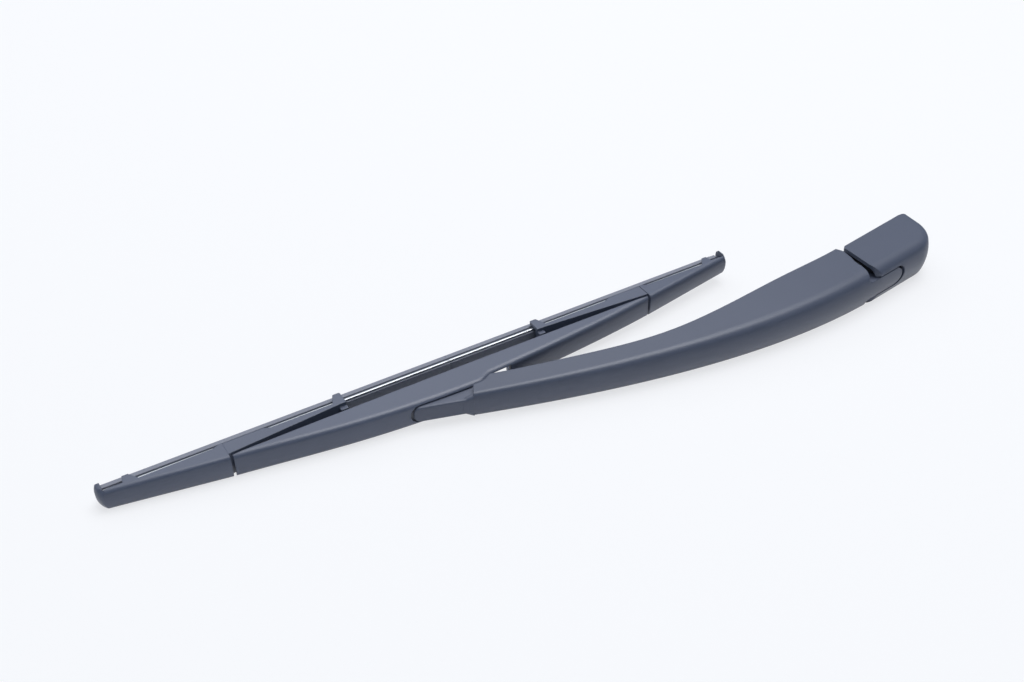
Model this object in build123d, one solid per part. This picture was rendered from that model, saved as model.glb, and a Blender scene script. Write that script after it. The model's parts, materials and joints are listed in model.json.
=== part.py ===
# Rear wiper arm with its blade, lying on its side, in millimetres.
# Origin: centre of the shaft bore at the glass side of the head.
# +X runs along the head away from the blade, +Y points to the glass, +Z is up.
import os
from math import atan, atan2, cos, degrees, hypot, radians, sin, tan

from build123d import *

os.makedirs("parts", exist_ok=True)

# Head, shaft seat and hinge
bore_radius = 5.0
hub_radius = 8.2
hub_height = 12.0
hub_chamfer = 0.8
hinge_x = -29.0
hinge_y = -14.0
hinge_pin_radius = 2.0
hook_pin_radius = 1.3
hook_pin_boss = 1.5
hook_pin_dx = 2.5
hook_pin_dy = 8.5
cheek_room = 1.15
cheek_thickness = 2.5
cheek_lobe = 4.6
cheek_foot_reach = 7.0
cheek_foot_radius = 2.5
web_clearance = 1.2

# Nut cap
cap_width = 21.5
cap_ridge = 21.3
cap_crown = 2.4
cap_corner = 5.0
cap_wall = 1.8
cap_bend = 15.0
cap_bend_x = -2.6
cap_end_rake = 12.0
cap_pitch = 0.8
cap_front = 35.0
cap_front_lean = 8.0
cap_pivot_dx = -3.6
cap_pivot_dy = -2.8
cap_pin_radius = 1.5
cap_pin_boss = 1.2
cap_nose = 6.0
cap_nose_drop = 1.9
cap_edge_round = 1.8

# Arm beam
arm_reach = 227.3
pivot_drop = 46.5
arm_over_pivot = 12.5
arm_shoulder = 5.5
arm_tip_slope = 0.475
arm_head_height = 22.4
arm_tip_height = 11.5
arm_step_in = 0.45
arm_tip_width = 12.4
arm_head_crown = 2.4
arm_tip_crown = 0.9
arm_head_corner = 5.0
arm_tip_corner = 1.8
arm_wall = 2.0
swell_start = 64.0
swell_end = 162.0
seam_lean = 14.6
seam_gap_glass = 1.5
seam_sweep = 11.3
seam_round = 2.0

# Tongue over the hinge and neck inside the head
tongue_width = 9.6
tongue_reach = 11.5
tongue_root_round = 3.0
notch_gap = 0.5
notch_end_gap = 1.9
neck_slot = 5.2
neck_gap = 0.5
neck_root = 33.0
neck_lobe = 4.9
neck_glass = 9.5
neck_bite = 0.7

# Tongue that carries the blade
clip_tongue_width = 7.8
clip_tongue_reach = 24.8
clip_tongue_tip_depth = 5.4
clip_tongue_root_depth = 9.2
clip_slot = 5.0
clip_fit = 0.1
clip_boss = 4.2
clip_length = 13.2
clip_mouth = 3.0
clip_tongue_corner = 0.7
clip_tongue_wall = 1.8
blade_gap = 1.0
shoulder_lean = 52.0

# Tension spring, hook and anchor pins
spring_pin_radius = 1.6
spring_reach = 111.0
spring_depth = 7.7
spring_outer = 4.3
wire_radius = 0.9
spring_turns = 26
rod_radius = 1.1
plug_length = 3.0

# Blade
blade_angle = -8.61
blade_length = 305.0
bridge_width = 11.8
bridge_wall = 1.5
bridge_roof = 1.6
bridge_corner = 2.0
bridge_rise = 7.2
bridge_step = 2.9
bridge_step_start = 2.8
bridge_step_run = 8.0
bridge_shoulder_x = 50.0
bridge_shoulder_y = -3.9
bridge_right_y = -1.6
bridge_edge = 5.5
seam_left_x = 101.7
seam_right_x = 99.3
seam_gap = 1.2
seam_ridge_y = 3.9
seam_edge_y = 4.9
opening_right = 20.4
tip_gap = 1.2
relief_x = 13.5
relief_length = 10.0
relief_depth = 2.4
relief_round = 1.5
bar_radius = 2.0

# Yokes
yoke_pivot_inset = 9.7
yoke_pivot_y = 9.3
trunnion_radius = 1.5
trunnion_bite = 0.7
ear_radius = 2.8
ear_thickness = 6.4
yoke_seam_width = 11.3
yoke_tip_width = 10.2
yoke_arm_width = 10.8
yoke_roof = 1.5
yoke_slot = 7.5
yoke_tip_roof = 0.6
yoke_tip_ridge_y = 12.5
yoke_edge_y = 12.1
yoke_tip_edge_y = 12.8
yoke_arm_start_y = 6.4
yoke_arm_end_y = 10.4
yoke_crown = 0.5
yoke_corner = 1.5
yoke_tip_corner = 2.0
yoke_tip_round = 3.8
yoke_nose_round = 3.6
yoke_nose_y = 17.0
yoke_nose_radius = 8.0
yoke_nose_turn = 7.4
saddle_inner = 6.7
saddle_outer = 11.6
saddle_rise = 1.2
saddle_ramp = 3.0
ear_room = 7.5
claw_left_x = 50.0
claw_right_x = 42.6
claw_length = 3.2
claw_flare = 2.2
post_y = 8.3
post_clearance = 0.6
lug_inset = 11.0
lug_length = 2.4
lug_flare = 3.0
lug_y = 16.3
finger_y = 17.2
lip_thickness = 0.65
lip_reach = 1.5
stop_thickness = 2.6
stop_corner = 2.2
stop_round = 2.2
stop_y = 18.7

# Rubber refill and its two steel strips
strip_width = 2.8
strip_thickness = 1.0
strip_y = 13.6
strip_inset = 0.8
refill_end_gap = 0.9
refill_shift = -0.7
rubber_head_y = 13.0
rubber_head_width = 5.2
rubber_neck_width = 3.2
rubber_shoulder_width = 6.0
rubber_shoulder_y = 16.1
rubber_shoulder_end = 18.0
lip_root_width = 1.5
lip_edge_width = 0.6
lip_edge_y = 21.2

# Clearances
press_clearance = 0.02
run_clearance = 0.06
side_clearance = 0.3
slot_clearance = 0.15
overrun = 2.0


def across(shape, half_width):
    """Solid from a side outline, the same distance to both sides of the middle plane."""
    return extrude(shape, amount=half_width, dir=(0, 0, 1), both=True)


def layer(shape, low, high):
    """Solid from a side outline between two heights."""
    return extrude(Pos(0, 0, low) * shape, amount=high - low, dir=(0, 0, 1))


def both_sides(shape, low, high):
    """A pair of layers, mirrored about the middle plane."""
    return layer(shape, low, high) + layer(shape, -high, -low)


def cross_pin(x, y, radius, half_length):
    """Round pin through the middle plane."""
    return across(Pos(x, y) * Circle(radius), half_length)


def outline(points):
    """Closed side outline with straight edges."""
    return make_face(Polyline(*points, close=True))


def crowned(ridge, glass, width, crown, corner):
    """Cross-section with flat sides and a crowned, round-cornered back."""
    half = width / 2
    sides = Polyline((ridge, -half), (glass, -half), (glass, half), (ridge, half))
    back = ThreePointArc((ridge, half), (ridge - crown, 0), (ridge, -half))
    face = make_face(sides + back)
    return fillet(face.vertices().sort_by(Axis.X)[:2], corner)


def at_station(x, section):
    """Stand a cross-section up at a place along X."""
    plane = Plane(origin=(x, 0, 0), x_dir=(0, 1, 0), z_dir=(1, 0, 0))
    return plane * section


def blend(start, end, share):
    """Straight blend between two sizes."""
    return start + (end - start) * share


# Places that several pieces share, and a distance past all of the head's pieces
far = 60.0
pivot_x = -arm_reach
pivot_y = pivot_drop
hook_x = hinge_x + hook_pin_dx
hook_y = hinge_y + hook_pin_dy
cap_pivot_x = hinge_x + cap_pivot_dx
cap_pivot_y = hinge_y + cap_pivot_dy
cap_inner = cap_width / 2 - cap_wall
cheek_outer = cap_inner - cheek_room
cheek_inner = cheek_outer - cheek_thickness
arm_head_width = cap_width - 2 * arm_step_in
tongue_end_x = hinge_x + tongue_reach
arm_start_x = -cap_front - seam_gap_glass
arm_end_x = pivot_x - arm_shoulder
arm_run = arm_start_x - arm_end_x
arm_end_ridge = pivot_y - arm_over_pivot
arm_head_slope = tan(radians(cap_pitch))
arm_start_ridge = -cap_ridge - arm_start_x * arm_head_slope
blade_place = Pos(pivot_x, pivot_y) * Rot(0, 0, blade_angle)


def arm_share(x):
    """Share of the way from the head to the blade end; the tongue before it counts as 0."""
    return max((arm_start_x - x) / arm_run, 0)


def arm_ridge(x):
    """Side view of the ridge: straight over the tongue, then one cubic to the blade end."""
    t = arm_share(x)
    if t == 0:
        return arm_start_ridge - (x - arm_start_x) * arm_head_slope
    start = (2 * t**3 - 3 * t**2 + 1) * arm_start_ridge
    start_turn = (t**3 - 2 * t**2 + t) * arm_head_slope * arm_run
    end = (3 * t**2 - 2 * t**3) * arm_end_ridge
    end_turn = (t**3 - t**2) * arm_tip_slope * arm_run
    return start + start_turn + end + end_turn


def arm_height(x):
    """Depth of the side walls: shallow by the blade, swelling towards the head."""
    t = min(max((swell_end + x) / (swell_end - swell_start), 0), 1)
    return blend(arm_tip_height, arm_head_height, 3 * t**2 - 2 * t**3)


def arm_width(x):
    return blend(arm_head_width, arm_tip_width, arm_share(x))


def arm_section(x, wall):
    t = arm_share(x)
    ridge = arm_ridge(x)
    corner = blend(arm_head_corner, arm_tip_corner, t)
    crown = blend(arm_head_crown, arm_tip_crown, t)
    glass = ridge + arm_height(x) + (overrun if wall else 0)
    inner_corner = max(corner - wall, corner / 4)
    return at_station(x, crowned(ridge + wall, glass, arm_width(x) - 2 * wall, crown, inner_corner))


arm_station_count = 13


def arm_loft(wall):
    """Beam through evenly spaced stations, a little longer than arm and tongue at both ends."""
    first = tongue_end_x + overrun
    last = arm_end_x - overrun
    steps = arm_station_count - 1
    places = [blend(first, last, i / steps) for i in range(arm_station_count)]
    return loft([arm_section(x, wall) for x in places])


def cap_body(wall, front):
    """Crowned hood: straight run, bend over the end and raked end wall."""
    depth = cap_bend - wall
    axis_y = -cap_ridge + cap_bend
    corner = max(cap_corner - wall, cap_corner / 4)
    section = crowned(-depth, 0, cap_width - 2 * wall, cap_crown, corner)
    turn = 90 - cap_end_rake + cap_pitch
    bend_axis = Axis((cap_bend_x, axis_y, 0), (0, 0, 1))
    start = at_station(cap_bend_x, Pos(axis_y, 0) * section).rotate(bend_axis, -cap_pitch)
    back = (-cos(radians(cap_pitch)), sin(radians(cap_pitch)), 0)
    straight = extrude(start, amount=front, dir=back)
    bend = revolve(start, bend_axis, turn)
    end_face = start.rotate(bend_axis, turn)
    slide = (-axis_y + overrun) / cos(radians(cap_end_rake))
    along = (sin(radians(cap_end_rake)), cos(radians(cap_end_rake)), 0)
    end = extrude(end_face, amount=slide, dir=along)
    fill_x = cap_bend_x + depth - corner
    fill_end = fill_x - axis_y * tan(radians(cap_end_rake))
    fill = outline([(-front, axis_y), (-front, 0), (fill_end, 0), (fill_x, axis_y)])
    body = straight + bend + end + across(fill, cap_width / 2 - wall)
    return body - across(outline([(-front, 0), (far, 0), (far, far), (-front, far)]), cap_width)


def write(shape, name):
    """One solid to its own file."""
    solids = shape.solids()
    print(name, len(solids), "solid", round(sum(s.volume for s in solids), 1))
    export_step(solids[0] if len(solids) == 1 else shape, "parts/" + name + ".step")


# Nut cap
def cap_front_x(y):
    """Front edge of the cap, leaning away from the shaft towards the back."""
    return -cap_front + y * tan(radians(cap_front_lean))


cap_long = cap_front + cap_width / 2
cap = cap_body(0, cap_long) - cap_body(cap_wall, cap_long + overrun)
nose_y = -cap_ridge - cap_nose_drop
cap_keep = outline(
    [
        (cap_front_x(0), 0),
        (far, 0),
        (far, -far),
        (tongue_end_x - tongue_width / 2, -far),
        (tongue_end_x - tongue_width / 2, nose_y),
        (cap_front_x(nose_y), nose_y),
    ]
)
nose_corner = cap_keep.vertices().sort_by_distance((cap_front_x(nose_y), nose_y, 0))[0]
cap_keep = fillet(nose_corner, cap_nose)
glass_corner = cap_keep.vertices().sort_by_distance((cap_front_x(0), 0, 0))[0]
cap = cap & across(fillet(glass_corner, cap_edge_round), cap_width)


def tongue_plan(width, end_x, start_x):
    """Plan of the tongue: straight sides and a round end."""
    length = end_x - width / 2 - start_x
    plan = Pos(start_x + length / 2, 0) * Rectangle(length, width)
    return plan + Pos(end_x - width / 2, 0) * Circle(width / 2)


def stand(plan, low, high):
    """Solid from a plan outline between two places along Y."""
    return extrude(Plane(origin=(0, low, 0), x_dir=(1, 0, 0), z_dir=(0, 1, 0)) * plan, amount=high - low)


notch = tongue_plan(tongue_width + 2 * notch_gap, tongue_end_x + notch_end_gap, -cap_long - overrun)
cap = cap - stand(notch, -far, -cap_ridge + 2 * cap_wall)
cap_pin_end = cap_inner + cap_wall / 2
cap_pin_round = Pos(cap_pivot_x, cap_pivot_y) * Circle(cap_pin_radius)
cap_pins = both_sides(cap_pin_round, cheek_inner + side_clearance, cap_pin_end)
write(cap + cap_pins, "nut_cap")

# Mounting head: hub, two cheeks and the web between them
hub = stand(Circle(hub_radius), -hub_height, 0)
hub = chamfer(hub.edges().filter_by(GeomType.CIRCLE), hub_chamfer)
lobes = [
    Pos(hinge_x, hinge_y) * Circle(cheek_lobe),
    Pos(cap_pivot_x, cap_pivot_y) * Circle(cap_pin_radius + cap_pin_boss),
    Pos(hook_x, hook_y) * Circle(hook_pin_radius + hook_pin_boss),
    Pos(hinge_x - cheek_foot_reach, -cheek_foot_radius) * Circle(cheek_foot_radius),
    Pos(-bore_radius, -hub_height / 2) * Circle(hub_height / 2 - hub_chamfer),
]
cheek = make_hull([edge for lobe in lobes for edge in lobe.edges()])
web_start = hinge_x + hypot(tongue_reach, cap_ridge + cap_crown + hinge_y) + web_clearance
web = outline(
    [
        (web_start, -hub_height + 2 * hub_chamfer),
        (0, -hub_height + 2 * hub_chamfer),
        (0, -2 * hub_chamfer),
        (web_start, -2 * hub_chamfer),
    ]
)
head = hub + both_sides(cheek, cheek_inner, cheek_outer) + across(web, cheek_inner + cheek_thickness / 2)
head = head - stand(Circle(bore_radius), -hub_height - overrun, overrun)
head = head - cross_pin(hinge_x, hinge_y, hinge_pin_radius + press_clearance, cap_width)
head = head - cross_pin(hook_x, hook_y, hook_pin_radius + press_clearance, cap_width)
head = head - cross_pin(cap_pivot_x, cap_pivot_y, cap_pin_radius + run_clearance, cap_width)
write(head, "mounting_head")
write(cross_pin(hinge_x, hinge_y, hinge_pin_radius, cheek_outer + side_clearance), "hinge_pin")
write(cross_pin(hook_x, hook_y, hook_pin_radius, cheek_outer + side_clearance), "hook_pin")

# Bridge outline in the blade's own frame: X along the blade, Y to the glass, origin on the pivot
bridge_left = -seam_left_x + seam_gap / 2
bridge_right = seam_right_x - seam_gap / 2


def bridge_outline():
    """Long arched side view, higher on the left, with a soft step beside the pivot."""
    step_start = (bridge_step_start, -bridge_rise)
    left = Spline(
        (bridge_left, seam_ridge_y),
        (-bridge_shoulder_x, bridge_shoulder_y),
        step_start,
        tangents=[(1, -0.15), (1, 0)],
    )
    step_end = (bridge_step_start + bridge_step_run, bridge_step - bridge_rise)
    step = Spline(step_start, step_end, tangents=[(1, 0), (1, 0.06)])
    right = Spline(
        step_end,
        (bridge_shoulder_x, bridge_right_y),
        (bridge_right, seam_ridge_y),
        tangents=[(1, 0.06), (1, 0.15)],
    )
    right_end = Line((bridge_right, seam_ridge_y), (bridge_right, seam_edge_y))
    edge = ThreePointArc((bridge_right, seam_edge_y), (0, bridge_edge), (bridge_left, seam_edge_y))
    left_end = Line((bridge_left, seam_edge_y), (bridge_left, seam_ridge_y))
    return make_face(left + step + right + right_end + edge + left_end)


bridge_side = bridge_outline()

# Arm beam: crowned channel, cut back at both ends, with a tongue at each
arm = arm_loft(0) - arm_loft(arm_wall)


def arm_end_edge(y):
    """Head-side end of the arm, leaning away from the cap."""
    return arm_start_x + y * tan(radians(seam_lean))


seam_cut = outline(
    [
        (arm_end_edge(0) - seam_round, far),
        (arm_end_edge(0) - seam_round, seam_round),
        (arm_end_edge(-seam_round), -seam_round),
        (arm_end_edge(-far), -far),
        (far, -far),
        (far, far),
    ]
)
tongue_root_x = arm_end_edge(-cap_ridge - cap_crown)
tongue_keep = tongue_plan(tongue_width, tongue_end_x, tongue_root_x - far)
tongue_keep = tongue_keep + Pos(tongue_root_x - far / 2, 0) * Rectangle(far, 2 * cap_width)
root_corners = tongue_keep.vertices().sort_by_distance((tongue_root_x, 0, 0))[:2]
tongue_keep = fillet(root_corners, tongue_root_round)
seam_tool = across(seam_cut + Pos(hinge_x, hinge_y) * Circle(seam_sweep), cap_width)
arm = arm - (seam_tool - stand(tongue_keep, -far, hinge_y - cap_pin_radius))
lean = (cos(radians(shoulder_lean)), sin(radians(shoulder_lean)))
shoulder_x = arm_end_x
shoulder_y = arm_ridge(arm_end_x)
shoulder_cut = outline(
    [
        (shoulder_x - far * lean[0], shoulder_y - far * lean[1]),
        (shoulder_x + far * lean[0], shoulder_y + far * lean[1]),
        (shoulder_x - far, shoulder_y + far),
        (shoulder_x - far, shoulder_y - far),
    ]
)
arm = arm - across(shoulder_cut, arm_head_width)
arm = arm - across(blade_place * Pos(0, -blade_gap) * bridge_side, arm_head_width)

# Two-sided neck under the tongue, which the hinge pin passes through
neck_x = hinge_x - neck_root
neck = outline(
    [
        (neck_x, -neck_glass),
        (neck_x, arm_ridge(neck_x) - neck_bite),
        (arm_end_edge(-cap_ridge), -cap_ridge - neck_bite),
        (hinge_x + neck_lobe, -cap_ridge - neck_bite),
        (hinge_x + neck_lobe, hinge_y),
        (hinge_x, hinge_y),
        (hinge_x, hinge_y + neck_lobe),
    ]
)
neck = neck + Pos(hinge_x, hinge_y) * Circle(neck_lobe)
arm = arm + both_sides(neck, neck_slot / 2, cheek_inner - neck_gap)
arm = arm - cross_pin(hinge_x, hinge_y, hinge_pin_radius + run_clearance, tongue_width)

# Blade-side tongue in a frame on the pivot, X along the end of the arm
tip_angle = -degrees(atan(arm_tip_slope))
tip_place = Pos(pivot_x, pivot_y) * Rot(0, 0, tip_angle)
tip_dy = arm_end_ridge - arm_tip_crown + arm_tip_corner / 8 - pivot_y
back_y = -arm_shoulder * sin(radians(-tip_angle)) + tip_dy * cos(radians(tip_angle))
tip_x = -clip_tongue_reach
root_x = arm_shoulder
clip_tongue = outline(
    [
        (tip_x, back_y),
        (root_x, back_y),
        (root_x, back_y + clip_tongue_root_depth),
        (tip_x, back_y + clip_tongue_tip_depth),
    ]
)
clip_tongue = across(clip_tongue, clip_tongue_width / 2)
tip_edges = clip_tongue.edges().filter_by(Axis.Y).sort_by(Axis.X)[:2]
clip_tongue = fillet(tip_edges, clip_tongue_width / 2 - clip_tongue_corner)
back_face = clip_tongue.faces().sort_by(Axis.Y)[0]
clip_tongue = fillet(back_face.edges().filter_by(lambda e: e.center().X < root_x - 0.1), clip_tongue_corner)
clip_start = -clip_length * 2 / 3
slot = outline(
    [
        (clip_start - clip_fit, back_y + clip_tongue_wall),
        (far, back_y + clip_tongue_wall),
        (far, far),
        (clip_start - clip_fit, far),
    ]
)
clip_tongue = clip_tongue - across(slot, clip_slot / 2)
arm = arm + tip_place * clip_tongue

# Spring line from the pin in the arm to the pin in the head
spring_pin_x = hinge_x - spring_reach
spring_pin_y = arm_ridge(spring_pin_x) + spring_depth
spring_length = hypot(hook_x - spring_pin_x, hook_y - spring_pin_y)
spring_angle = degrees(atan2(hook_y - spring_pin_y, hook_x - spring_pin_x))
spring_place = Pos(spring_pin_x, spring_pin_y) * Rot(0, 0, spring_angle)
spring_pin_half = arm_width(spring_pin_x) / 2 - arm_wall / 2
spring_pin_hole = spring_pin_radius + press_clearance
arm = arm - cross_pin(spring_pin_x, spring_pin_y, spring_pin_hole, spring_pin_half + press_clearance)
write(arm, "arm_body")
write(cross_pin(spring_pin_x, spring_pin_y, spring_pin_radius, spring_pin_half), "spring_pin")

# Closed-wound tension spring with an end loop; its far end closes round the rod
loop_radius = spring_pin_radius + wire_radius + slot_clearance
coil_start = loop_radius + wire_radius
coil_groove = spring_outer - wire_radius
coil_inner = spring_outer - 2 * wire_radius
coil_end = coil_start + 2 * wire_radius * spring_turns
coil_line = Line((coil_start, coil_inner), (coil_start, coil_groove))
for turn in range(spring_turns):
    x = coil_start + 2 * wire_radius * turn
    coil_line += ThreePointArc(
        (x, coil_groove), (x + wire_radius, spring_outer), (x + 2 * wire_radius, coil_groove)
    )
coil_line += Polyline(
    (coil_end, coil_groove),
    (coil_end, rod_radius + slot_clearance),
    (coil_end - 2 * wire_radius, rod_radius + slot_clearance),
    (coil_end - 2 * wire_radius, coil_inner),
    (coil_start, coil_inner),
)
coil = revolve(make_face(coil_line), Axis.X, 360)
loop_bar = Pos(coil_start, 0, 0) * Rot(90, 0, 0) * Cylinder(wire_radius, 2 * coil_groove)
loop = Torus(loop_radius, wire_radius)
write(spring_place * (coil + loop_bar + loop), "tension_spring")

# Rod with a plug inside the coil and an open hook round the head's pin
plug_end = coil_end - 2 * wire_radius - slot_clearance
plug = Rot(0, 90, 0) * Cylinder(coil_inner - slot_clearance, plug_length)
plug = Pos(plug_end - plug_length / 2, 0, 0) * plug
hook_ring = hook_pin_radius + rod_radius + slot_clearance
rod_length = spring_length - hook_ring - plug_end
rod = Pos(plug_end + rod_length / 2, 0, 0) * Rot(0, 90, 0) * Cylinder(rod_radius, rod_length)
mouth = Pos(spring_length + hook_ring, -hook_ring, 0) * Box(2 * hook_ring, 2 * hook_ring, 4 * rod_radius)
hook = Pos(spring_length, 0, 0) * Torus(hook_ring, rod_radius) - mouth
write(spring_place * (plug + rod + hook), "spring_hook")

# Snap clip in the blade-side tongue
clip = outline(
    [
        (clip_start, back_y + clip_tongue_wall + clip_fit),
        (clip_boss, back_y + clip_tongue_wall + clip_fit),
        (clip_boss, 0),
        (-clip_boss, 0),
        (clip_start, back_y + clip_tongue_root_depth * 3 / 4),
    ]
)
clip = clip + Circle(clip_boss) - Circle(bar_radius + run_clearance)
clip = clip - Pos(0, clip_boss) * Rectangle(clip_mouth, 2 * clip_boss)
write(tip_place * across(clip, clip_slot / 2 - clip_fit), "blade_clip")

# Bridge: arched channel with a window over the pivot bar and an ear at each end
bridge = across(bridge_side, bridge_width / 2)
ridge_edges = bridge.edges().filter_by(lambda e: abs(e.center().Z) > bridge_width / 2 - 0.1)
ridge_edges = ridge_edges.filter_by(lambda e: e.center().Y < seam_ridge_y)
ridge_edges = ridge_edges.filter_by(lambda e: e.length > 2 * (seam_edge_y - seam_ridge_y))
bridge = fillet(ridge_edges, bridge_corner)
bridge_inner = bridge_width / 2 - bridge_wall
bridge = bridge - across(Pos(0, bridge_roof) * bridge_side, bridge_inner)
tongue_turn = radians(tip_angle - blade_angle)
window_left = tip_x * cos(tongue_turn) - back_y * sin(tongue_turn) - tip_gap
window = Pos((window_left + bridge_inner + opening_right) / 2, 0) * Rectangle(
    opening_right - window_left - bridge_inner, 2 * bridge_inner
)
window = window + Pos(window_left + bridge_inner, 0) * Circle(bridge_inner)
bridge = bridge - stand(window, -far, seam_ridge_y)
bridge = bridge + across(Circle(bar_radius), bridge_inner + bridge_wall / 2)
relief = Pos(relief_x + relief_length / 2, bridge_edge) * Rectangle(relief_length, 2 * relief_depth)
relief = fillet(relief.vertices(), relief_round)
bridge = bridge - layer(relief, -bridge_width, -bar_radius)
ear = Pos(0, (seam_ridge_y + yoke_pivot_y) / 2) * Rectangle(2 * ear_radius, yoke_pivot_y - seam_ridge_y)
ear = ear + Pos(0, yoke_pivot_y) * Circle(ear_radius)
ear = across(ear, ear_thickness / 2)
ear = ear + cross_pin(0, yoke_pivot_y, trunnion_radius, yoke_slot / 2 + trunnion_bite)
bridge = bridge + Pos(seam_right_x - yoke_pivot_inset, 0) * ear + Pos(yoke_pivot_inset - seam_left_x, 0) * ear
write(blade_place * bridge, "bridge")

# Yokes: tapering crowned end, inner arm with a claw, outer lug and an end wall for the refill
yoke_tip = -blade_length / 2
yoke_seam_ridge = seam_ridge_y + seam_gap / 3
lip_low = strip_y + strip_thickness + slot_clearance


def yoke_shell(seam):
    """Outer body from the seam to the rounded tip."""
    tip_section = crowned(yoke_tip_ridge_y, stop_y, yoke_tip_width, yoke_crown, yoke_tip_corner)
    seam_section = crowned(yoke_seam_ridge, stop_y, yoke_seam_width, yoke_crown, yoke_corner)
    body = loft([at_station(yoke_tip, tip_section), at_station(seam, seam_section)])
    plan = outline(
        [
            (yoke_tip, -yoke_tip_width / 2),
            (seam, -yoke_seam_width / 2 - overrun),
            (seam, yoke_seam_width / 2 + overrun),
            (yoke_tip, yoke_tip_width / 2),
        ]
    )
    plan = fillet(plan.vertices().sort_by(Axis.X)[:2], yoke_tip_round)
    side = outline(
        [
            (yoke_tip, stop_y),
            (yoke_tip, yoke_tip_ridge_y - yoke_crown),
            (seam, yoke_seam_ridge - yoke_crown - overrun),
            (seam, stop_y + overrun),
        ]
    )
    side = fillet(side.vertices().sort_by_distance((yoke_tip, yoke_tip_ridge_y, 0))[0], yoke_nose_round)
    side = fillet(side.vertices().sort_by_distance((yoke_tip, stop_y, 0))[0], stop_round)
    body = body & stand(plan, -far, far) & across(side, yoke_seam_width)
    nose_place = Pos(yoke_tip + yoke_nose_radius / 2, yoke_nose_y, 0)
    nose = nose_place * Rot(0, 90, 0) * Cylinder(yoke_nose_radius, yoke_nose_radius)
    nose = fillet(nose.edges().sort_by(Axis.X)[0], yoke_nose_turn)
    corners = nose_place * Box(yoke_nose_radius, 4 * yoke_nose_radius, 4 * yoke_nose_radius) - nose
    return body - corners


def yoke_cut(pivot):
    """Everything on the glass side of the outer body's edge."""
    lug_end = yoke_tip + lug_inset
    saddle = pivot - saddle_outer
    return outline(
        [
            (yoke_tip - overrun, far),
            (yoke_tip - overrun, yoke_tip_edge_y),
            (lug_end - lip_thickness, yoke_tip_edge_y),
            (lug_end, lug_y),
            (lug_end + lug_length, lug_y),
            (lug_end + lug_length + lug_flare, yoke_edge_y),
            (saddle - saddle_ramp, yoke_edge_y),
            (saddle, yoke_edge_y + saddle_rise),
            (far, yoke_edge_y + saddle_rise),
            (far, far),
        ]
    )


def yoke_inner_arm(seam, pivot, claw):
    """Side outline of the arm under the bridge, raised to a saddle round the pivot."""
    saddle = pivot + saddle_inner
    return outline(
        [
            (seam - overrun, yoke_arm_start_y),
            (seam, yoke_arm_start_y),
            (claw - claw_length, yoke_arm_end_y),
            (claw - claw_length, yoke_edge_y),
            (saddle + saddle_ramp, yoke_edge_y),
            (saddle, yoke_edge_y + saddle_rise),
            (seam - overrun, yoke_edge_y + saddle_rise),
        ]
    )


def yoke_claw(claw):
    """Two fingers that reach past the strips, and a post that stands in the bridge's channel."""
    side = outline(
        [
            (claw - claw_length - claw_flare, yoke_arm_end_y),
            (claw, yoke_arm_end_y),
            (claw, finger_y),
            (claw - claw_length, finger_y),
            (claw - claw_length - claw_flare, yoke_edge_y),
        ]
    )
    side = fillet(side.vertices().sort_by(Axis.Y)[-2:], lip_thickness)
    post_end = yoke_arm_end_y + yoke_roof / 2
    post = Pos(claw - claw_length / 2, (post_y + post_end) / 2) * Rectangle(claw_length, post_end - post_y)
    return across(side, yoke_arm_width / 2) + across(post, bridge_inner - post_clearance)


def yoke_room(seam, claw):
    """Space inside for the refill and the bridge's ear."""
    return outline(
        [
            (yoke_tip + stop_thickness, yoke_tip_ridge_y + yoke_tip_roof),
            (seam, yoke_arm_start_y + yoke_roof),
            (claw - claw_length, yoke_arm_end_y + yoke_roof),
            (far, yoke_arm_end_y + yoke_roof),
            (far, far),
            (yoke_tip + stop_thickness, far),
        ]
    )


def make_yoke(seam_x, claw_x):
    """Yoke of the left side; distances count from the middle of the blade."""
    seam = -(seam_x + seam_gap / 2)
    pivot = yoke_pivot_inset - seam_x
    shell = yoke_shell(seam)
    yoke = shell - across(yoke_cut(pivot), yoke_seam_width)
    yoke = yoke + across(yoke_inner_arm(seam, pivot, -claw_x), yoke_arm_width / 2) + yoke_claw(-claw_x)
    yoke = yoke - across(yoke_room(seam, -claw_x), yoke_slot / 2)
    yoke = yoke - across(Pos(pivot, 0) * Rectangle(2 * ear_room, far), yoke_slot / 2)
    socket_depth = yoke_slot / 2 + trunnion_bite + slot_clearance
    yoke = yoke - cross_pin(pivot, yoke_pivot_y, trunnion_radius + run_clearance, socket_depth)
    lug_middle = yoke_tip + lug_inset + lug_length / 2
    for lip_x, lip_length in ((-claw_x - claw_length / 2, claw_length / 2), (lug_middle, lug_length / 2)):
        lip = Pos(lip_x, lip_low + lip_thickness / 2) * Rectangle(lip_length, lip_thickness)
        yoke = yoke + both_sides(lip, yoke_slot / 2 - lip_reach, yoke_slot / 2 + side_clearance)
    wall_front = Pos(stop_y / 2, 0) * Rectangle(stop_y, yoke_tip_width)
    wall_front = fillet(wall_front.vertices().sort_by(Axis.X)[2:], stop_corner)
    end_wall = shell & extrude(at_station(yoke_tip, wall_front), amount=stop_thickness, dir=(1, 0, 0))
    return yoke + end_wall


write(blade_place * make_yoke(seam_left_x, claw_left_x), "left_yoke")
write(blade_place * mirror(make_yoke(seam_right_x, claw_right_x), about=Plane.YZ), "right_yoke")

# Rubber refill and the two steel strips in its grooves
refill_half = blade_length / 2 - stop_thickness - refill_end_gap


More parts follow.
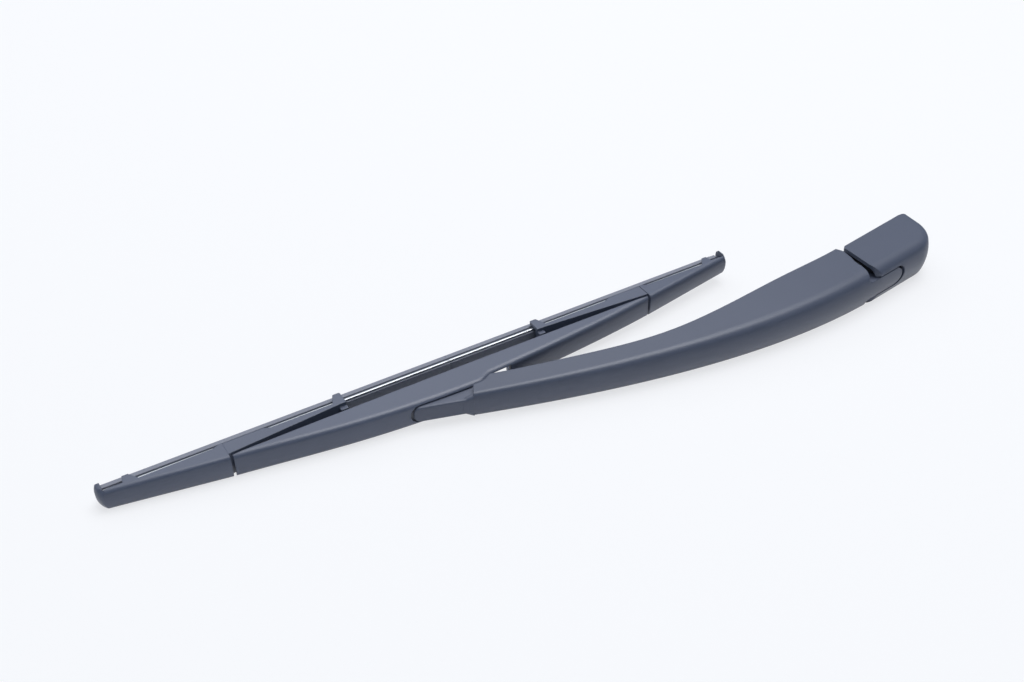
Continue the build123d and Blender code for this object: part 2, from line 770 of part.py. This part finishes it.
def refill_side(sign):
    """Half of the refill's cross-section, from its head to its lip."""
    points = [
        (rubber_head_y, rubber_head_width / 2),
        (strip_y - slot_clearance / 2, rubber_head_width / 2),
        (strip_y - slot_clearance / 2, strip_inset - slot_clearance / 2),
        (strip_y + strip_thickness + slot_clearance / 2, strip_inset - slot_clearance / 2),
        (strip_y + strip_thickness + slot_clearance / 2, rubber_neck_width / 2),
        (rubber_shoulder_y, rubber_neck_width / 2),
        (rubber_shoulder_y, rubber_shoulder_width / 2),
        (rubber_shoulder_end, rubber_shoulder_width / 2),
        (rubber_shoulder_end + lip_thickness, lip_root_width / 2),
        (lip_edge_y, lip_edge_width / 2),
    ]
    return [(y, sign * z) for y, z in points]


refill_section = outline(refill_side(1) + refill_side(-1)[::-1])
refill_start = refill_shift - refill_half
rubber = extrude(at_station(refill_start, refill_section), amount=2 * refill_half, dir=(1, 0, 0))
write(blade_place * rubber, "wiper_rubber")
strip = Pos(refill_shift, strip_y + strip_thickness / 2) * Rectangle(2 * refill_half, strip_thickness)
write(blade_place * layer(strip, strip_inset, strip_inset + strip_width), "upper_strip")
write(blade_place * layer(strip, -strip_inset - strip_width, -strip_inset), "lower_strip")
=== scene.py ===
import json
import math

import bpy
from mathutils import Matrix, Vector


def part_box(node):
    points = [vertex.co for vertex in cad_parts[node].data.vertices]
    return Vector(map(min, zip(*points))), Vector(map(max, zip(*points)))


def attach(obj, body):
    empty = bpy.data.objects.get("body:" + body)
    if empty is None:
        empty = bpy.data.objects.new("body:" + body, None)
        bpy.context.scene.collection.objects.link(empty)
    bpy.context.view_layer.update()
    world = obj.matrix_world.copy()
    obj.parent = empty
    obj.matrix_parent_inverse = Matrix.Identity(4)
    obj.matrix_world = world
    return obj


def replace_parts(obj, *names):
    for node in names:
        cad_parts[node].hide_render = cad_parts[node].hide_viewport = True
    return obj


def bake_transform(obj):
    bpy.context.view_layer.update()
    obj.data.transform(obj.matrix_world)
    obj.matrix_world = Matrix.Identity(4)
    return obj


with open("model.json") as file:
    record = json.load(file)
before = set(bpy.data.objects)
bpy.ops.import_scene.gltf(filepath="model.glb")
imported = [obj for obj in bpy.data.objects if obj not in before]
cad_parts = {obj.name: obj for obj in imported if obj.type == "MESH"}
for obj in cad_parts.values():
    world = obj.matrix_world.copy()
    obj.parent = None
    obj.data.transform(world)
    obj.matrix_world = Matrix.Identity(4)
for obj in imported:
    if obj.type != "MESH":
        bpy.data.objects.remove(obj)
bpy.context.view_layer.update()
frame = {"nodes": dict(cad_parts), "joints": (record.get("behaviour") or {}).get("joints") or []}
nodes = frame["nodes"]
mm = 0.001  # shapes are given in mm, the frame is in metres
weldGap = 0.002  # closer points are merged
longEdgeShare = 0.9  # of a piece's longest edge, longer ones are cut into rows
print("frame loaded:", len(nodes), "CAD nodes")


# Helpers for work in object and edit mode

def clearSelection():
    if bpy.context.object and bpy.context.object.mode != "OBJECT":
        bpy.ops.object.mode_set(mode="OBJECT")
    bpy.ops.object.select_all(action="DESELECT")


def pick(piece):
    clearSelection()
    bpy.context.view_layer.objects.active = piece
    piece.select_set(True)


def bakePlace(piece):  # the object's own place, turn and scale go into its mesh
    pick(piece)
    bpy.ops.object.transform_apply(location=True, rotation=True, scale=True)


def setDown(piece, place):  # moves a piece that was modelled in its own axes to the row frame
    bakePlace(piece)
    piece.matrix_world = place
    bakePlace(piece)


def applyAll(piece):
    pick(piece)
    for modifier in list(piece.modifiers):
        bpy.ops.object.modifier_apply(modifier=modifier.name)


def closeUp(piece):  # merges doubles, closes open ends and turns the faces outwards
    pick(piece)
    bpy.ops.object.mode_set(mode="EDIT")
    bpy.ops.mesh.select_all(action="SELECT")
    bpy.ops.mesh.remove_doubles(threshold=weldGap * mm)
    bpy.ops.mesh.fill_holes(sides=0)
    bpy.ops.mesh.select_all(action="SELECT")
    bpy.ops.mesh.normals_make_consistent(inside=False)
    bpy.ops.object.mode_set(mode="OBJECT")


def nameIt(piece, name):
    piece.name = name
    piece.data.name = name


def joinAs(name, parts):
    clearSelection()
    for part in parts:
        part.select_set(True)
    bpy.context.view_layer.objects.active = parts[0]
    bpy.ops.object.join()
    nameIt(parts[0], name)
    return parts[0]


def smooth(piece, angle=35):
    pick(piece)
    bpy.ops.object.shade_smooth_by_angle(angle=math.radians(angle))


def startEdgePick(piece):  # edge mode with nothing selected, so that edges can be picked in code
    pick(piece)
    bpy.ops.object.mode_set(mode="EDIT")
    bpy.ops.mesh.select_mode(type="EDGE")
    bpy.ops.mesh.select_all(action="DESELECT")
    bpy.ops.object.mode_set(mode="OBJECT")


def spanAlongX(piece, edge):
    first, second = (piece.data.vertices[i].co for i in edge.vertices)
    return abs(first.x - second.x)


def cutAlongX(piece, cuts):  # rows of edges across a piece's length, so that it can bend
    startEdgePick(piece)
    longest = max(spanAlongX(piece, edge) for edge in piece.data.edges)
    for edge in piece.data.edges:
        edge.select = spanAlongX(piece, edge) > longEdgeShare * longest
    bpy.ops.object.mode_set(mode="EDIT")
    bpy.ops.mesh.subdivide(number_cuts=cuts)
    bpy.ops.object.mode_set(mode="OBJECT")


def dress(piece, material):
    piece.data.materials.clear()
    piece.data.materials.append(material)


def middleOf(nodeName):
    low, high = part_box(nodeName)
    return (low + high) / 2


def headingOf(line):
    return math.atan2(line.y, line.x)


def placeAt(point, heading):  # a piece's own axes, set at a point and turned about Z
    return Matrix.Translation(point) @ Matrix.Rotation(heading, 4, "Z")


# Surface effects that several finishes share

def newGroup(name, inputs, outputs):
    group = bpy.data.node_groups.new(name, "ShaderNodeTree")
    for label, kind, value in inputs:
        socket = group.interface.new_socket(name=label, in_out="INPUT", socket_type=kind)
        socket.default_value = value
    for label, kind in outputs:
        group.interface.new_socket(name=label, in_out="OUTPUT", socket_type=kind)
    return group, group.nodes.new("NodeGroupInput"), group.nodes.new("NodeGroupOutput")


def mixOf(group, kind, factor, low, high):  # kind is RGBA or FLOAT
    mix = group.nodes.new("ShaderNodeMix")
    mix.data_type = kind
    group.links.new(factor, mix.inputs["Factor"])
    group.links.new(low, mix.inputs["A"])
    group.links.new(high, mix.inputs["B"])
    return mix.outputs["Result"]


def noiseAt(group, coords, scale, detail):
    noise = group.nodes.new("ShaderNodeTexNoise")
    noise.inputs["Detail"].default_value = detail
    group.links.new(coords, noise.inputs["Vector"])
    group.links.new(scale, noise.inputs["Scale"])
    return noise.outputs["Fac"]


def mathOf(tree, operation, first, second):  # second is a socket or a plain number
    step = tree.nodes.new("ShaderNodeMath")
    step.operation = operation
    tree.links.new(first, step.inputs[0])
    if isinstance(second, (int, float)):
        step.inputs[1].default_value = second
    else:
        tree.links.new(second, step.inputs[1])
    return step.outputs["Value"]


surfaceOutputs = [
    ("Color", "NodeSocketColor"),
    ("Roughness", "NodeSocketFloat"),
    ("Height", "NodeSocketFloat"),
]


def sendSurface(group, entry, out, tone, grain):  # tone picks the colour, grain the gloss and the height
    color = mixOf(group, "RGBA", tone, entry.outputs["Dark"], entry.outputs["Light"])
    gloss = mixOf(group, "FLOAT", grain, entry.outputs["Dull"], entry.outputs["Shiny"])
    group.links.new(color, out.inputs["Color"])
    group.links.new(gloss, out.inputs["Roughness"])
    group.links.new(grain, out.inputs["Height"])


def buildMouldGrain():  # fine eroded grain of moulded plastic, faint cloudy patches
    group, entry, out = newGroup(
        "mouldGrain",
        [
            ("Grain Scale", "NodeSocketFloat", 900.0),
            ("Patch Scale", "NodeSocketFloat", 30.0),
            ("Dark", "NodeSocketColor", (0.05, 0.05, 0.06, 1)),
            ("Light", "NodeSocketColor", (0.07, 0.07, 0.08, 1)),
            ("Dull", "NodeSocketFloat", 0.6),
            ("Shiny", "NodeSocketFloat", 0.45),
        ],
        surfaceOutputs,
    )
    coords = group.nodes.new("ShaderNodeTexCoord").outputs["Object"]
    grain = noiseAt(group, coords, entry.outputs["Grain Scale"], detail=3)
    patch = noiseAt(group, coords, entry.outputs["Patch Scale"], detail=4)
    sendSurface(group, entry, out, patch, grain)
    return group


streakStretch = (0.05, 1, 1)  # drawn out along X


def buildDrawnLines():  # fine streaks along X, as on rolled strip and drawn wire
    group, entry, out = newGroup(
        "drawnLines",
        [
            ("Streak Scale", "NodeSocketFloat", 400.0),
            ("Dark", "NodeSocketColor", (0.4, 0.4, 0.41, 1)),
            ("Light", "NodeSocketColor", (0.7, 0.7, 0.72, 1)),
            ("Dull", "NodeSocketFloat", 0.45),
            ("Shiny", "NodeSocketFloat", 0.25),
        ],
        surfaceOutputs,
    )
    coords = group.nodes.new("ShaderNodeTexCoord").outputs["Object"]
    stretch = group.nodes.new("ShaderNodeMapping")
    stretch.inputs["Scale"].default_value = streakStretch
    group.links.new(coords, stretch.inputs["Vector"])
    streak = noiseAt(group, stretch.outputs["Vector"], entry.outputs["Streak Scale"], detail=5)
    sendSurface(group, entry, out, streak, streak)
    return group


def buildFaceCrown():  # slight swell of a moulded face across Z, highest at half its width
    group, entry, out = newGroup(
        "faceCrown",
        [("Radius", "NodeSocketFloat", 0.03)],
        [("Height", "NodeSocketFloat")],
    )
    coords = group.nodes.new("ShaderNodeTexCoord").outputs["Object"]
    split = group.nodes.new("ShaderNodeSeparateXYZ")
    group.links.new(coords, split.inputs["Vector"])
    across = split.outputs["Z"]
    square = mathOf(group, "MULTIPLY", across, across)
    share = mathOf(group, "DIVIDE", square, entry.outputs["Radius"])
    fall = mathOf(group, "MULTIPLY", share, -0.5)  # a circle falls by its square over twice its radius
    group.links.new(fall, out.inputs["Height"])
    return group


mouldGrain = buildMouldGrain()
drawnLines = buildDrawnLines()
faceCrown = buildFaceCrown()
print("shared effects:", mouldGrain.name, drawnLines.name, faceCrown.name)


edgeSamples = 4  # rays that look for an edge nearby


def makeFinish(name, group, look):
    material = bpy.data.materials.new(name)
    material.use_nodes = True
    tree = material.node_tree
    shader = tree.nodes["Principled BSDF"]
    effect = tree.nodes.new("ShaderNodeGroup")
    effect.node_tree = group
    for label, value in look["effect"].items():
        effect.inputs[label].default_value = value
    bump = tree.nodes.new("ShaderNodeBump")
    bump.inputs["Strength"].default_value = look["bump"]
    bump.inputs["Distance"].default_value = look["bumpDepth"] * mm
    if look.get("edgeRound"):  # soft edges, as moulded or cast
        edges = tree.nodes.new("ShaderNodeBevel")
        edges.samples = edgeSamples
        edges.inputs["Radius"].default_value = look["edgeRound"] * mm
        tree.links.new(edges.outputs["Normal"], bump.inputs["Normal"])
        if look.get("crownRadius"):  # and front faces that swell between them
            swell = tree.nodes.new("ShaderNodeGroup")
            swell.node_tree = faceCrown
            swell.inputs["Radius"].default_value = look["crownRadius"] * mm
            crown = tree.nodes.new("ShaderNodeBump")
            crown.inputs["Strength"].default_value = 1
            crown.inputs["Distance"].default_value = 1  # the group's height is in metres
            tree.links.new(swell.outputs["Height"], crown.inputs["Height"])
            tree.links.new(edges.outputs["Normal"], crown.inputs["Normal"])
            tree.links.new(crown.outputs["Normal"], bump.inputs["Normal"])
    tree.links.new(effect.outputs["Color"], shader.inputs["Base Color"])
    tree.links.new(effect.outputs["Roughness"], shader.inputs["Roughness"])
    tree.links.new(effect.outputs["Height"], bump.inputs["Height"])
    tree.links.new(bump.outputs["Normal"], shader.inputs["Normal"])
    shader.inputs["Metallic"].default_value = look.get("metal", 0.0)
    shader.inputs["Specular IOR Level"].default_value = look.get("specular", 0.5)
    return material


armPlasticLook = {
    "effect": {
        "Grain Scale": 1400, "Patch Scale": 25, "Dull": 0.46, "Shiny": 0.36,
        "Dark": (0.082, 0.092, 0.13, 1), "Light": (0.096, 0.107, 0.15, 1),
    },
    "bump": 0.12, "bumpDepth": 0.2, "edgeRound": 0.6, "crownRadius": 28,
}
bladePlasticLook = {
    "effect": {
        "Grain Scale": 1400, "Patch Scale": 25, "Dull": 0.42, "Shiny": 0.32,
        "Dark": (0.094, 0.105, 0.148, 1), "Light": (0.108, 0.121, 0.169, 1),
    },
    "bump": 0.12, "bumpDepth": 0.2, "edgeRound": 0.5, "crownRadius": 17,
}
clipPlasticLook = {
    "effect": {
        "Grain Scale": 900, "Patch Scale": 60, "Dull": 0.5, "Shiny": 0.4,
        "Dark": (0.025, 0.025, 0.028, 1), "Light": (0.035, 0.035, 0.039, 1),
    },
    "bump": 0.05, "bumpDepth": 0.2, "edgeRound": 0.2,
}
rubberLook = {
    "effect": {
        "Grain Scale": 700, "Patch Scale": 40, "Dull": 0.72, "Shiny": 0.6,
        "Dark": (0.203, 0.209, 0.251, 1), "Light": (0.24, 0.248, 0.294, 1),
    },
    "bump": 0.08, "bumpDepth": 0.2, "specular": 0.4,
}
stripSteelLook = {
    "effect": {
        "Streak Scale": 500, "Dull": 0.4, "Shiny": 0.28,
        "Dark": (0.49, 0.5, 0.52, 1), "Light": (0.6, 0.61, 0.635, 1),
    },
    "bump": 0.03, "bumpDepth": 0.1, "metal": 1.0,
}
springSteelLook = {
    "effect": {
        "Streak Scale": 900, "Dull": 0.42, "Shiny": 0.3,
        "Dark": (0.34, 0.34, 0.35, 1), "Light": (0.5, 0.5, 0.51, 1),
    },
    "bump": 0.04, "bumpDepth": 0.1, "metal": 1.0,
}
headPaintLook = {  # black-coated die casting
    "effect": {
        "Grain Scale": 500, "Patch Scale": 80, "Dull": 0.55, "Shiny": 0.4,
        "Dark": (0.02, 0.021, 0.024, 1), "Light": (0.032, 0.033, 0.037, 1),
    },
    "bump": 0.25, "bumpDepth": 0.3, "edgeRound": 0.3,
}
armPlastic = makeFinish("armPlastic", mouldGrain, armPlasticLook)
bladePlastic = makeFinish("bladePlastic", mouldGrain, bladePlasticLook)
clipPlastic = makeFinish("clipPlastic", mouldGrain, clipPlasticLook)
refillRubber = makeFinish("refillRubber", mouldGrain, rubberLook)
stripSteel = makeFinish("stripSteel", drawnLines, stripSteelLook)
springSteel = makeFinish("springSteel", drawnLines, springSteelLook)
headPaint = makeFinish("headPaint", mouldGrain, headPaintLook)

finishOf = {
    "arm_body": armPlastic, "nut_cap": armPlastic,
    "bridge": bladePlastic, "left_yoke": bladePlastic, "right_yoke": bladePlastic,
    "blade_clip": clipPlastic, "mounting_head": headPaint,
    "hinge_pin": springSteel, "hook_pin": springSteel, "spring_pin": springSteel,
    "tension_spring": springSteel, "spring_hook": springSteel,
    "wiper_rubber": refillRubber, "upper_strip": stripSteel, "lower_strip": stripSteel,
}
for nodeName, finish in finishOf.items():
    dress(nodes[nodeName], finish)
print("finishes on the CAD nodes:", len(finishOf))

# Places read from the frame
jointAt = {joint["name"]: Vector(joint["pos_m"]) for joint in frame["joints"]}
bladeLine = jointAt["right_yoke_pivot"] - jointAt["left_yoke_pivot"]
bladePlace = placeAt(jointAt["blade_pivot"], headingOf(bladeLine))
springPin = middleOf("spring_pin")
hookPin = middleOf("hook_pin")
springLine = hookPin - springPin
springPlace = placeAt(springPin, headingOf(springLine))


def reachOnBlade(nodeName):  # a node's lowest and highest place along the blade, in mm
    toBlade = bladePlace.inverted() @ nodes[nodeName].matrix_world
    places = [(toBlade @ vertex.co).x / mm for vertex in nodes[nodeName].data.vertices]
    return min(places), max(places)


# Wire wound round an axis, and straight wire along X
wireSides = 12


def wireRing(bendRadius, wireRadius, start, sweep, steps, axis="Z", advance=0.0):
    clearSelection()
    if axis == "Z":
        turn = (math.radians(90), 0, 0)
        place = (bendRadius * mm, 0, 0)
        startTurn = (0, 0, math.radians(start))
    else:
        turn = (0, 0, 0)
        place = (0, bendRadius * mm, 0)
        startTurn = (math.radians(start), 0, 0)
    bpy.ops.mesh.primitive_circle_add(
        vertices=wireSides, radius=wireRadius * mm, location=place, rotation=turn,
    )
    ring = bpy.context.object
    bakePlace(ring)
    ring.rotation_euler = startTurn
    bakePlace(ring)
    winding = ring.modifiers.new("winding", "SCREW")
    winding.axis = axis
    winding.angle = math.radians(sweep)
    winding.screw_offset = advance * mm
    winding.steps = steps
    winding.render_steps = steps
    applyAll(ring)
    closeUp(ring)
    return ring


def wireBar(x0, x1, radius, y=0.0):
    clearSelection()
    bpy.ops.mesh.primitive_cylinder_add(
        vertices=wireSides, radius=radius * mm, depth=(x1 - x0) * mm,
        location=((x0 + x1) / 2 * mm, y * mm, 0), rotation=(0, math.radians(90), 0),
    )
    bar = bpy.context.object
    bakePlace(bar)
    return bar


# Tension spring: close-wound wire with an eye on the arm's pin
coilShape = {
    "wire": 0.9, "outer": 4.3, "start": 3.55, "turns": 26, "stepsPerTurn": 18,
    "eye": 2.65, "eyeStart": 30, "eyeSweep": 300, "eyeSteps": 36,
    "leadLap": 0.3, "leadY": 1.6,  # straight wire between the eye and the first turn
}


def makeCoil():
    wire = coilShape["wire"]
    mean = coilShape["outer"] - wire
    pitch = 2 * wire
    turns = coilShape["turns"]
    steps = coilShape["stepsPerTurn"] * turns
    winding = wireRing(mean, wire, 0, 360 * turns, steps, "X", pitch * turns)
    winding.location = (coilShape["start"] * mm, 0, 0)
    bakePlace(winding)
    eyeSweep = coilShape["eyeSweep"]
    eye = wireRing(coilShape["eye"], wire, coilShape["eyeStart"], eyeSweep, coilShape["eyeSteps"])
    leadStart = coilShape["eye"] - coilShape["leadLap"]
    lead = wireBar(leadStart, coilShape["start"] + pitch, wire, coilShape["leadY"])
    coil = joinAs("tensionCoil", [winding, eye, lead])
    setDown(coil, springPlace)
    smooth(coil)
    dress(coil, springSteel)
    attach(coil, "arm")
    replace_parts(coil, "tension_spring")


# Pull rod: plug in the coil, straight rod and an open hook round the head's pin
rodShape = {
    "radius": 1.1, "rows": 48, "ring": 2.55, "hookSweep": 268, "hookSteps": 32,
    "plugRadius": 2.35, "plugStart": 45.4, "plugEnd": 48.4, "plugLap": 1,
    "plugEdge": 0.3, "plugEdgeSteps": 2,
    "bendFrom": 5, "bendTo": 30,  # from the head's pin back towards the coil
}


def makePullRod():
    reach = springLine.length / mm
    radius = rodShape["radius"]
    rod = wireBar(rodShape["plugEnd"] - rodShape["plugLap"], reach - rodShape["ring"], radius)
    cutAlongX(rod, rodShape["rows"])
    plug = wireBar(rodShape["plugStart"], rodShape["plugEnd"], rodShape["plugRadius"])
    edges = plug.modifiers.new("edges", "BEVEL")
    edges.width = rodShape["plugEdge"] * mm
    edges.segments = rodShape["plugEdgeSteps"]
    applyAll(plug)
    sweep = rodShape["hookSweep"]
    hook = wireRing(rodShape["ring"], radius, 180 - sweep, sweep, rodShape["hookSteps"])
    hook.location = (reach * mm, 0, 0)
    bakePlace(hook)
    pullRod = joinAs("pullRod", [rod, plug, hook])
    setDown(pullRod, springPlace)
    smooth(pullRod)
    dress(pullRod, springSteel)
    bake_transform(pullRod)
    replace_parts(pullRod, "spring_hook")


makeCoil()
makePullRod()
print("spring and pull rod wound")

# Fairing that leads the arm's front face into its narrower tongue
fairingShape = {
    "turn": -25.4, "edge": 1.4, "edgeSteps": 5, "frontSlack": 0.1, "smoothAngle": 40,
    "start": {"x": 0.6, "front": -14.44, "depth": 2.2, "top": 5.5, "under": -6.12},  # against the arm
    "end": {"x": -4.3, "front": -14.29, "depth": 1.45, "top": 3.6, "under": -3.6},  # on the tongue
}


def makeFairing():
    clearSelection()
    bpy.ops.mesh.primitive_cube_add(size=1)
    fairing = bpy.context.object
    nameIt(fairing, "tongueFairing")
    for corner in fairing.data.vertices:
        face = fairingShape["start"] if corner.co.x > 0 else fairingShape["end"]
        depth = face["depth"] if corner.co.y > 0 else 0.0
        level = face["top"] if corner.co.z > 0 else face["under"]
        corner.co = Vector((face["x"], face["front"] + depth, level)) * mm
    startEdgePick(fairing)
    frontLimit = (fairingShape["end"]["front"] + fairingShape["frontSlack"]) * mm
    for edge in fairing.data.edges:  # the two long front edges
        atFront = all(fairing.data.vertices[i].co.y < frontLimit for i in edge.vertices)
        edge.select = atFront and spanAlongX(fairing, edge) > mm
    bpy.ops.object.mode_set(mode="EDIT")
    bpy.ops.mesh.bevel(
        offset=fairingShape["edge"] * mm, segments=fairingShape["edgeSteps"],
        profile=0.5, clamp_overlap=True,
    )
    bpy.ops.object.mode_set(mode="OBJECT")
    closeUp(fairing)
    setDown(fairing, placeAt(jointAt["blade_pivot"], math.radians(fairingShape["turn"])))
    smooth(fairing, fairingShape["smoothAngle"])
    dress(fairing, armPlastic)
    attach(fairing, "arm")


makeFairing()
print("fairing set on the tongue")

# Refill: rubber and two steel strips, each in two halves cut into rows along the blade
refillShape = {
    "rows": 60, "bendFrom": 2.0, "bendTo": 38.5,
    "profile": [
        (13.0, 2.6), (13.52, 2.6), (13.52, 0.72), (14.68, 0.72), (14.68, 1.6),
        (16.1, 1.6), (16.1, 3.0), (18.0, 3.0), (18.65, 0.75), (21.2, 0.3),
    ],
    "stripY": (13.6, 14.6), "stripZ": (0.8, 3.6),
    "edge": 0.14, "edgeSteps": 2, "edgeAngle": 25, "smoothAngle": 40,
}


def followYoke(piece):  # its place goes into its mesh, where it stays
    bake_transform(piece)


def finishHalf(half, finish):  # rounds its edges, cuts it into rows and lays it in the blade
    edges = half.modifiers.new("edges", "BEVEL")
    edges.width = refillShape["edge"] * mm
    edges.segments = refillShape["edgeSteps"]
    edges.limit_method = "ANGLE"
    edges.angle_limit = math.radians(refillShape["edgeAngle"])
    applyAll(half)
    cutAlongX(half, refillShape["rows"])
    setDown(half, bladePlace)
    smooth(half, refillShape["smoothAngle"])
    dress(half, finish)
    followYoke(half)


def makeRubberHalf(name, end):
    clearSelection()
    upper = refillShape["profile"]
    corners = upper + [(y, -z) for y, z in reversed(upper)]
    bpy.ops.mesh.primitive_circle_add(vertices=len(corners), radius=mm, fill_type="NGON")
    rubber = bpy.context.object
    nameIt(rubber, name)
    for vertex, (y, z) in zip(rubber.data.vertices, corners):  # the drawn ring becomes the section
        vertex.co = (0, y * mm, z * mm)
    bpy.ops.object.mode_set(mode="EDIT")
    bpy.ops.mesh.select_all(action="SELECT")
    bpy.ops.mesh.extrude_region_move(TRANSFORM_OT_translate={"value": (end * mm, 0, 0)})
    bpy.ops.object.mode_set(mode="OBJECT")
    closeUp(rubber)
    finishHalf(rubber, refillRubber)
    return rubber


def makeStripHalf(name, end, level):
    clearSelection()
    y0, y1 = refillShape["stripY"]
    z0, z1 = refillShape["stripZ"]
    bpy.ops.mesh.primitive_cube_add(size=1)
    strip = bpy.context.object
    nameIt(strip, name)
    strip.scale = (abs(end) * mm, (y1 - y0) * mm, (z1 - z0) * mm)
    strip.location = (end / 2 * mm, (y0 + y1) / 2 * mm, level * (z0 + z1) / 2 * mm)
    bakePlace(strip)
    finishHalf(strip, stripSteel)
    return strip


for sideName, side, end in zip(("Left", "Right"), (-1, 1), reachOnBlade("wiper_rubber")):
    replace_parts(makeRubberHalf("rubber" + sideName, end), "wiper_rubber")
    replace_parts(makeStripHalf("upperStrip" + sideName, end, 1), "upper_strip")
    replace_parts(makeStripHalf("lowerStrip" + sideName, end, -1), "lower_strip")
print("refill laid in")

# Table, light and camera
table = {
    "size": 6.0,  # metres
    "underHead": -10.75, "underTip": -5.2, "tipAt": (-370, 80),
    "color": (0.92, 0.928, 0.95, 1), "roughness": 0.9, "specular": 0.1,
    "glow": (0.94, 0.945, 0.965, 1), "glowShare": 0.76,
}


def makeTable():
    clearSelection()
    bpy.ops.mesh.primitive_plane_add(size=table["size"])
    top = bpy.context.object
    top.name = "tableTop"
    run = Vector((table["tipAt"][0] * mm, table["tipAt"][1] * mm))
    rise = (table["underTip"] - table["underHead"]) * mm / run.length
    along = run.normalized()
    for corner in top.data.vertices:  # tilted, because the head is thicker than the blade
        corner.co.z = table["underHead"] * mm + rise * (corner.co.x * along.x + corner.co.y * along.y)
    dress(top, makeTablePaint())


def makeTablePaint():  # white board, lifted towards white only where it is seen
    paint = bpy.data.materials.new("tablePaint")
    paint.use_nodes = True
    tree = paint.node_tree
    shader = tree.nodes["Principled BSDF"]
    shader.inputs["Base Color"].default_value = table["color"]
    shader.inputs["Roughness"].default_value = table["roughness"]
    shader.inputs["Specular IOR Level"].default_value = table["specular"]
    glow = tree.nodes.new("ShaderNodeEmission")
    glow.inputs["Color"].default_value = table["glow"]
    rays = tree.nodes.new("ShaderNodeLightPath")
    seen = rays.outputs["Is Camera Ray"]
    for kind in ("Is Glossy Ray", "Is Transmission Ray"):
        seen = mathOf(tree, "MAXIMUM", seen, rays.outputs[kind])
    share = mathOf(tree, "MULTIPLY", seen, table["glowShare"])
    blend = tree.nodes.new("ShaderNodeMixShader")
    tree.links.new(share, blend.inputs["Fac"])
    tree.links.new(shader.outputs["BSDF"], blend.inputs[1])
    tree.links.new(glow.outputs["Emission"], blend.inputs[2])
    tree.links.new(blend.outputs["Shader"], tree.nodes["Material Output"].inputs["Surface"])
    return paint


lamps = {  # places and sizes in metres, power in watts
    "softBox": {
        "place": (-0.1, 1.1, 2.1), "aim": (-0.2, 0.05, 0.0), "size": (3.4, 3.4), "power": 44.0,
    },
    "sidePanel": {
        "place": (0.465, 0.115, 1.9), "aim": (-0.15, 0.05, 0.0), "size": (1.2, 1.3), "power": 26.0,
    },
}
lampColor = (0.975, 0.985, 1.0)
sky = {"color": (0.45, 0.71, 1.0, 1), "level": 0.18}


def makeLight():
    for name, setup in lamps.items():
        lamp = bpy.data.lights.new(name, "AREA")
        lamp.shape = "RECTANGLE"
        lamp.size, lamp.size_y = setup["size"]
        lamp.energy = setup["power"]
        lamp.color = lampColor
        stand = bpy.data.objects.new(name, lamp)
        bpy.context.scene.collection.objects.link(stand)
        stand.location = setup["place"]
        aim = Vector(setup["aim"]) - Vector(setup["place"])
        stand.rotation_euler = aim.to_track_quat("-Z", "Y").to_euler()
    world = bpy.data.worlds.new("studioSky")
    bpy.context.scene.world = world
    world.use_nodes = True
    backdrop = world.node_tree.nodes["Background"]
    backdrop.inputs["Color"].default_value = sky["color"]
    backdrop.inputs["Strength"].default_value = sky["level"]


cameraFit = {  # place in metres, angles in degrees
    "place": (-0.4583, -0.2595, 0.3281), "lookDown": 38.5, "heading": -40.0,
    "focalPixels": 1190, "imageWidth": 1024, "sensorWidth": 36, "clipStart": 0.01,
}


def makeCamera():
    lens = bpy.data.cameras.new("photoCamera")
    lens.sensor_fit = "HORIZONTAL"
    lens.sensor_width = cameraFit["sensorWidth"]
    lens.lens = cameraFit["focalPixels"] / cameraFit["imageWidth"] * lens.sensor_width
    lens.clip_start = cameraFit["clipStart"]
    camera = bpy.data.objects.new("photoCamera", lens)
    bpy.context.scene.collection.objects.link(camera)
    camera.location = cameraFit["place"]
    tilt = math.radians(90 - cameraFit["lookDown"])
    camera.rotation_euler = (tilt, 0, math.radians(cameraFit["heading"]))
    bpy.context.scene.camera = camera


makeTable()
makeLight()
makeCamera()
bpy.context.scene.view_settings.view_transform = "Standard"
print("table, light and camera ready")
